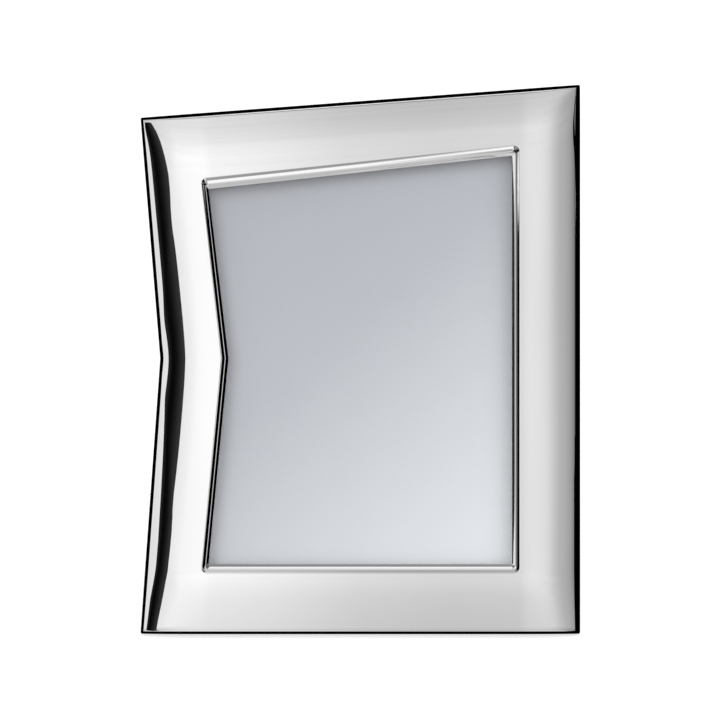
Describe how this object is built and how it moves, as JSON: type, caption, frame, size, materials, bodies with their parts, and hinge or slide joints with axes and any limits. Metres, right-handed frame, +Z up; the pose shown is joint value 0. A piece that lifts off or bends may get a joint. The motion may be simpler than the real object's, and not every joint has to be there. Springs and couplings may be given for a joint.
{
  "type": "photo frame",
  "caption": "Standing photo frame with a domed polished silver border, a slanting top, a kinked left side and a fold-out easel strut.",
  "frame": {"origin": "middle of the footprint, on the table that the frame stands on", "axes": "+Z up, +X to the right seen from the front, +Y from the viewer to the back; the face looks along -Y and leans back by 13 degrees"},
  "size_m": [0.209, 0.0842, 0.2554],
  "materials": {
    "silver_plate": "mirror polished silver plate",
    "core_wood": "dark stain under satin lacquer",
    "clear_glass": "clear, flat",
    "blue_card": "smooth matt card",
    "brown_board": "raw corrugated board",
    "panel_wood": "dark stained veneer under satin lacquer",
    "button_steel": "brass plated spring steel",
    "bright_steel": "bright plated steel"
  },
  "bodies": {
    "frame": {"front_shell": "silver_plate", "core_rail_top": "core_wood", "core_rail_right": "core_wood", "core_rail_bottom": "core_wood", "core_rail_left_lower": "core_wood", "core_rail_left_upper": "core_wood", "glass_pane": "clear_glass", "insert_card": "blue_card", "corrugated_pad": "brown_board", "back_panel": "panel_wood", "button_screw_top": "bright_steel", "button_screw_right_upper": "bright_steel", "button_screw_right_lower": "bright_steel", "button_screw_bottom_right": "bright_steel", "button_screw_bottom_left": "bright_steel", "button_screw_left_lower": "bright_steel", "button_screw_left_upper": "bright_steel", "strut_hinge_plate": "bright_steel", "strut_hinge_pin": "bright_steel", "plate_rivet_1": "bright_steel", "plate_rivet_2": "bright_steel", "plate_rivet_3": "bright_steel", "plate_rivet_4": "bright_steel"},
    "strut": {"strut_leg": "panel_wood", "strut_hinge_leaf": "bright_steel", "leaf_rivet_1": "bright_steel", "leaf_rivet_2": "bright_steel"},
    "button_top": {"turn_button_top": "button_steel"},
    "button_right_upper": {"turn_button_right_upper": "button_steel"},
    "button_right_lower": {"turn_button_right_lower": "button_steel"},
    "button_bottom_right": {"turn_button_bottom_right": "button_steel"},
    "button_bottom_left": {"turn_button_bottom_left": "button_steel"},
    "button_left_lower": {"turn_button_left_lower": "button_steel"},
    "button_left_upper": {"turn_button_left_upper": "button_steel"}
  },
  "joints": [
    {"name": "strut_fold", "type": "hinge", "parent": "frame", "child": "strut", "pos_m": [0, 0.01054, 0.17285], "axis": [1, 0, 0], "range_deg": [-23, 0]},
    {"name": "turn_top", "type": "hinge", "parent": "frame", "child": "button_top", "pos_m": [0, 0.02124, 0.23211], "axis": [0, 0.9744, -0.225], "continuous": true},
    {"name": "turn_right_upper", "type": "hinge", "parent": "frame", "child": "button_right_upper", "pos_m": [0.083, 0.00977, 0.18242], "axis": [0, 0.9744, -0.225], "continuous": true},
    {"name": "turn_right_lower", "type": "hinge", "parent": "frame", "child": "button_right_lower", "pos_m": [0.083, -0.01587, 0.07134], "axis": [0, 0.9744, -0.225], "continuous": true},
    {"name": "turn_bottom_right", "type": "hinge", "parent": "frame", "child": "button_bottom_right", "pos_m": [0.046, -0.02735, 0.02165], "axis": [0, 0.9744, -0.225], "continuous": true},
    {"name": "turn_bottom_left", "type": "hinge", "parent": "frame", "child": "button_bottom_left", "pos_m": [-0.046, -0.02735, 0.02165], "axis": [0, 0.9744, -0.225], "continuous": true},
    {"name": "turn_left_lower", "type": "hinge", "parent": "frame", "child": "button_left_lower", "pos_m": [-0.083, -0.01587, 0.07134], "axis": [0, 0.9744, -0.225], "continuous": true},
    {"name": "turn_left_upper", "type": "hinge", "parent": "frame", "child": "button_left_upper", "pos_m": [-0.083, 0.00977, 0.18242], "axis": [0, 0.9744, -0.225], "continuous": true}
  ]
}
